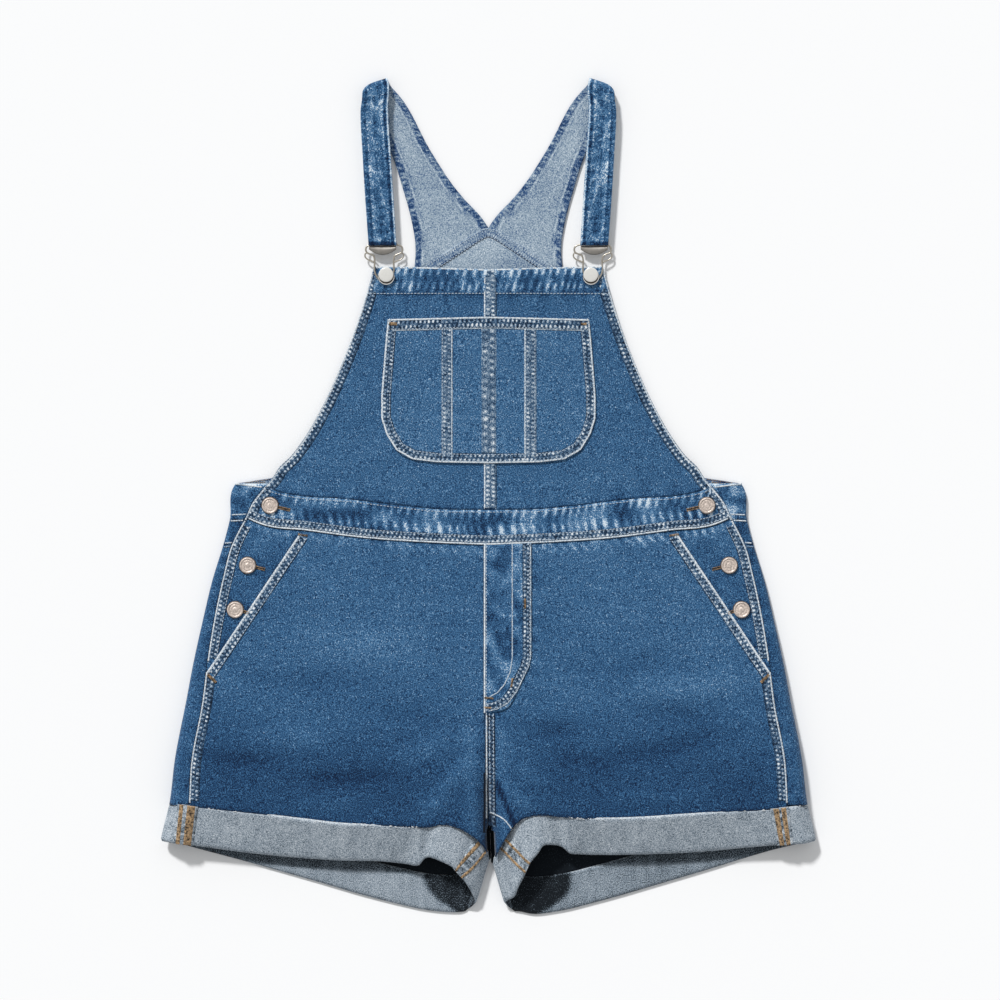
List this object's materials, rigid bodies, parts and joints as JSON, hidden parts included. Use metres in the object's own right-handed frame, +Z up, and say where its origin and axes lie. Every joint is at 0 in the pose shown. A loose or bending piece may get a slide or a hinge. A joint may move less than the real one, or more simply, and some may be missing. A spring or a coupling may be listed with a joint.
{
  "type": "denim shortalls",
  "caption": "Blue denim shortalls laid flat, front up: bib with a divided patch pocket, crossed back straps on wire buckles, side buttons, slanted pockets and turned up cuffs.",
  "frame": {"origin": "on the floor under the middle of the garment's outline", "axes": "+Y up the garment, from the leg openings to the straps; +X to the right of a viewer who looks down at the front; +Z up, out of the front"},
  "size_m": [0.656, 0.8388, 0.03],
  "materials": {
    "denim": "washed blue denim, right side",
    "denim_deep": "washed blue denim, less faded",
    "denim_wrong_side": "wrong side of the denim, grey blue",
    "nickel": "satin nickel"
  },
  "bodies": {
    "root": {"bib": "denim", "bib_pocket": "denim", "fly": "denim", "waistband_front": "denim", "front_left": "denim", "front_right": "denim", "hip_left": "denim_deep", "hip_right": "denim_deep", "back_left": "denim_deep", "back_right": "denim_deep", "yoke_left": "denim_deep", "yoke_right": "denim_deep", "waistband_back": "denim_deep", "back_bib": "denim_wrong_side", "strap_left": "denim", "strap_right": "denim", "cuff_left": "denim_wrong_side", "cuff_right": "denim_wrong_side", "buckle_left": "nickel", "slider_left": "nickel", "button_bib_left": "nickel", "button_waist_left": "nickel", "button_hip_upper_left": "nickel", "button_hip_lower_left": "nickel", "buckle_right": "nickel", "slider_right": "nickel", "button_bib_right": "nickel", "button_waist_right": "nickel", "button_hip_upper_right": "nickel", "button_hip_lower_right": "nickel"}
  },
  "joints": []
}
